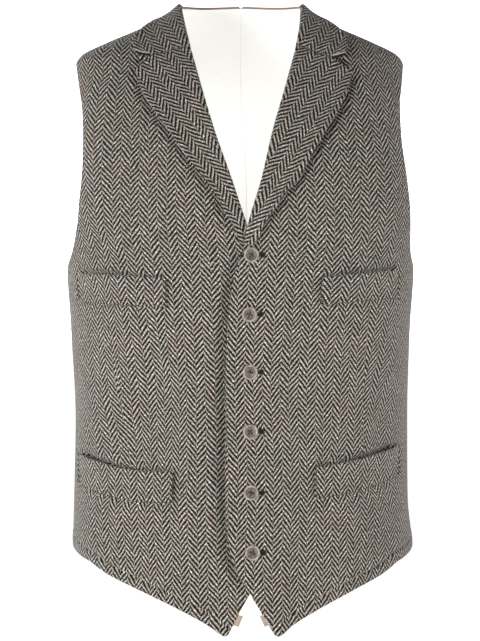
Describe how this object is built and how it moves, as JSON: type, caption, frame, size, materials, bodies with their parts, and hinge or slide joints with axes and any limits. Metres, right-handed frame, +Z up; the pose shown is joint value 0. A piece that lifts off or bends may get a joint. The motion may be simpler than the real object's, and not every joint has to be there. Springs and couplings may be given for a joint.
{
  "type": "suit waistcoat",
  "caption": "Buttoned suit waistcoat in brown herringbone tweed with notch lapels, welt pockets, pointed fronts and a smooth tan back, filled out as if worn.",
  "frame": {"origin": "midway between the two shoulder seams, at the height of their middle, where the garment rests on a wearer", "axes": "+Z up towards the neck, -Y the way the wearer faces, +X the wearer's left"},
  "size_m": [0.36, 0.2483, 0.6641],
  "materials": {
    "tweed": "napped herringbone wool",
    "satin": "smooth satin back cloth",
    "lining": "smooth off-white lining",
    "horn": "mottled horn with a soft polish"
  },
  "bodies": {
    "root": {"front_right": "tweed", "front_left": "tweed", "lapel_right": "tweed", "lapel_left": "tweed", "collar_right": "tweed", "collar_left": "tweed", "chest_welt_right": "tweed", "chest_welt_left": "tweed", "hip_welt_right": "tweed", "hip_welt_left": "tweed", "back_right": "satin", "back_left": "satin", "back_lining_right": "lining", "back_lining_left": "lining", "button_1": "horn", "button_2": "horn", "button_3": "horn", "button_4": "horn", "button_5": "horn", "button_6": "horn"}
  },
  "joints": []
}
